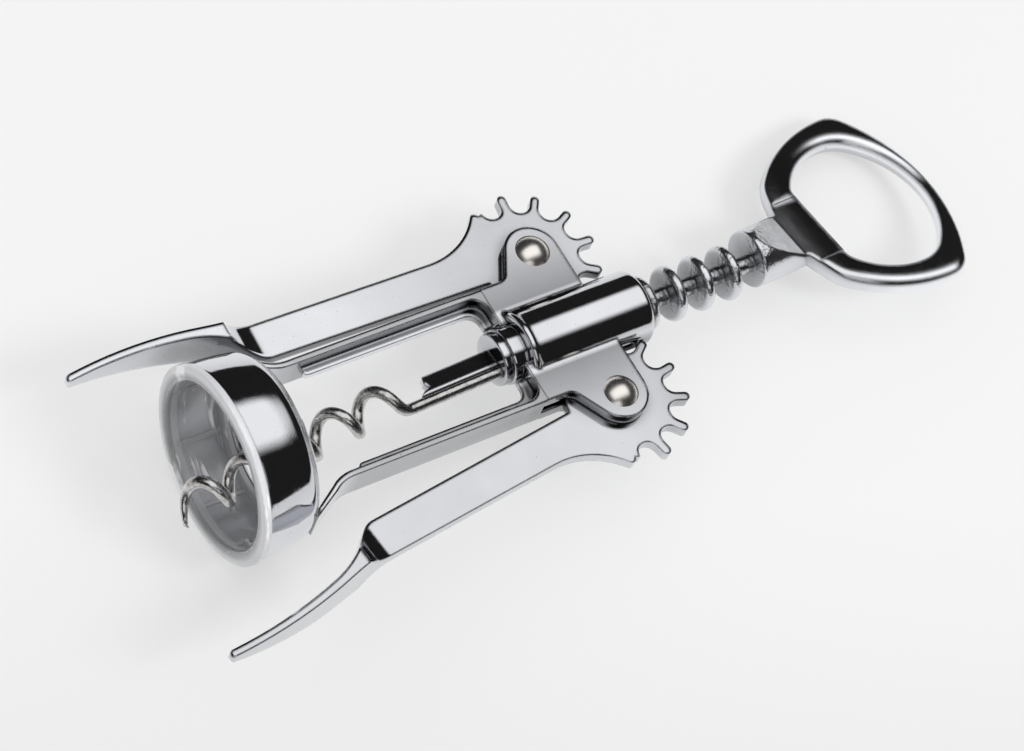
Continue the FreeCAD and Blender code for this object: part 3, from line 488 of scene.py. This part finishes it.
def make_floor_paint():
    """Pale board, a little darker towards the camera. What the camera, mirrors
    and clear plastic see of it is lifted by a share of plain glow."""
    paint = Paint("floor_paint")
    mottle = paint.clouded(paint.noise(3, detail=2.0), (0.84, 0.85, 0.845), grey(0.86))
    place = paint.add("ShaderNodeVectorMath", operation="DOT_PRODUCT")
    paint.join(paint.spot, place.inputs[0])
    place.inputs[1].default_value = SHADE_TOWARDS
    shade = paint.remap(place.outputs["Value"], SHADE_SPAN, (SHADE_LEVEL, 1.0))
    paint.give("Base Color", paint.tinted(mottle, shade))
    paint.set(Roughness=0.28, Specular_IOR_Level=0.35)
    level = paint.add("ShaderNodeRGB")
    level.outputs[0].default_value = (*grey(FLOOR_GLOW), 1)
    glow = paint.add("ShaderNodeEmission")
    paint.join(paint.tinted(level.outputs[0], shade), glow.inputs["Color"])
    rays = paint.add("ShaderNodeLightPath").outputs
    seen = paint.calc("MAXIMUM", rays["Is Camera Ray"], rays["Is Glossy Ray"])
    seen = paint.calc("MAXIMUM", seen, rays["Is Transmission Ray"])
    lit = paint.add("ShaderNodeMixShader")
    paint.join(paint.remap(seen, (0.0, 1.0), (0.0, GLOW_SHARE)), lit.inputs["Fac"])
    paint.join(paint.shader.outputs[0], lit.inputs[1])
    paint.join(glow.outputs[0], lit.inputs[2])
    paint.join(lit.outputs[0], paint.nodes["Material Output"].inputs["Surface"])
    return paint.material


def make_floor():
    mesh = bpy.data.meshes.new("floor")
    half = FLOOR_HALF
    corners = [(-half, -half, 0), (half, -half, 0), (half, half, 0), (-half, half, 0)]
    mesh.from_pydata(corners, [], [(0, 1, 2, 3)])
    mesh.materials.append(make_floor_paint())
    floor = bpy.data.objects.new("floor", mesh)
    scene.collection.objects.link(floor)
    floor.location = (0, 0, FLOOR_LOW)
    floor.rotation_euler = (0, -FLOOR_TILT, 0)
    return floor


make_floor()


# ---------------------------------------------------------------------- lights

SOFT_LEVEL = 0.80

# The studio's panels overhead: where each side starts to fade in and is full,
# across (Y) and along (X), at a height of 1.
PANEL_ACROSS = ((0.79, 0.45), (-0.67, -0.27))
PANEL_ALONG = ((1.02, 0.74), (-1.3, -0.8))
SECOND_ACROSS = ((-0.72, -0.90), (-2.6, -2.0))
SECOND_ALONG = ((-0.30, -0.55), (-2.6, -2.0))
HORIZON_FADE = (0.0, -0.06)
LOWEST_HEIGHT = 0.02
PANEL_SHINE = 1.02
SECOND_SHINE = 0.75
ROOM_DARK = 0.012
BELOW_SHINE = 0.80
KEY_PLACE = Vector((1.00, -1.70, 2.1))
KEY_TARGET = Vector((0.06, 0, 0))
KEY_SIZE = 0.85
KEY_POWER = 30.0


def make_world():
    """Pale all round for matt things; a studio for what mirrors it: a wide soft
    panel overhead and a farther one on the camera's side, in a dark room, over a
    pale floor."""
    world = bpy.data.worlds.new("world")
    graph = Graph(world)
    towards = graph.add("ShaderNodeTexCoord").outputs["Generated"]
    height = graph.component(towards, "Z")
    high = graph.calc("MAXIMUM", height, LOWEST_HEIGHT)
    across = graph.calc("DIVIDE", graph.component(towards, "Y"), high)
    along = graph.calc("DIVIDE", graph.component(towards, "X"), high)

    def fade(value, span):
        """0 at the span's start to 1 at its end, with soft ends."""
        return graph.remap(value, span, (0.0, 1.0), smooth=True)

    def panel(sides_across, sides_along, level):
        """The shine of a panel, from its four sides, and 0 beside it."""
        sides = [fade(across, span) for span in sides_across]
        sides += [fade(along, span) for span in sides_along]
        return graph.product(*sides, level)

    overhead = panel(PANEL_ACROSS, PANEL_ALONG, PANEL_SHINE)
    shine = graph.calc("ADD", overhead, panel(SECOND_ACROSS, SECOND_ALONG, SECOND_SHINE))
    shine = graph.calc("ADD", shine, ROOM_DARK)
    below = graph.product(fade(height, HORIZON_FADE), BELOW_SHINE)
    shine = graph.calc("MAXIMUM", shine, below)

    studio = graph.add("ShaderNodeBackground")
    graph.join(shine, studio.inputs["Color"])
    pale = graph.nodes["Background"]
    pale.inputs["Color"].default_value = (*grey(SOFT_LEVEL), 1)
    rays = graph.add("ShaderNodeLightPath").outputs
    mirrored = graph.calc("SUBTRACT", rays["Is Glossy Ray"], rays["Is Transmission Ray"])
    mix = graph.add("ShaderNodeMixShader")
    graph.join(graph.calc("MAXIMUM", mirrored, 0.0), mix.inputs["Fac"])
    graph.join(pale.outputs[0], mix.inputs[1])
    graph.join(studio.outputs[0], mix.inputs[2])
    graph.join(mix.outputs[0], graph.nodes["World Output"].inputs["Surface"])
    return world


def make_key():
    """The lamp that throws the shadow; mirrors and clear plastic don't show it."""
    light = bpy.data.objects.new("key", bpy.data.lights.new("key", "AREA"))
    light.data.shape = "SQUARE"
    light.data.size = KEY_SIZE
    light.data.energy = KEY_POWER
    aim = (KEY_TARGET - KEY_PLACE).to_track_quat("-Z", "Y")
    light.matrix_world = Matrix.Translation(KEY_PLACE) @ aim.to_matrix().to_4x4()
    light.visible_glossy = False
    light.visible_transmission = False
    scene.collection.objects.link(light)


scene.world = make_world()
make_key()
